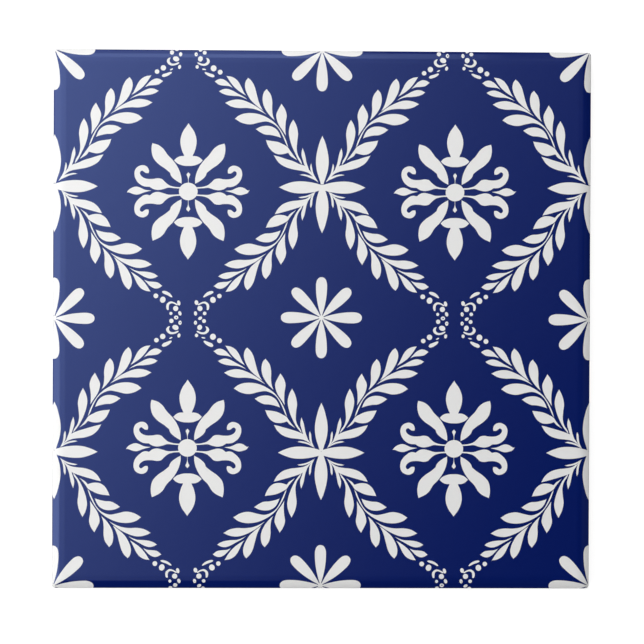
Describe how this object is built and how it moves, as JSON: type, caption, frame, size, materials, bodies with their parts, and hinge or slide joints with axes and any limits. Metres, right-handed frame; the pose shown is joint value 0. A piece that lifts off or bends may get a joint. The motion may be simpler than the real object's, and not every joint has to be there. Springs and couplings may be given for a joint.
{
  "type": "decorative wall tile",
  "caption": "Square glazed ceramic wall tile with a cushion edge, a key back for adhesive and a blue and white laurel trellis pattern.",
  "frame": {"origin": "under the middle of the back, on the plane that the tile rests on", "axes": "+Z out of the glazed face; +X to the right and +Y to the top of the face as the picture shows it"},
  "size_m": [0.108, 0.108, 0.0063],
  "materials": {
    "glazed_tile": "glossy cobalt glaze with white figures over a fired ceramic body"
  },
  "bodies": {
    "root": {"tile": "glazed_tile"}
  },
  "joints": []
}
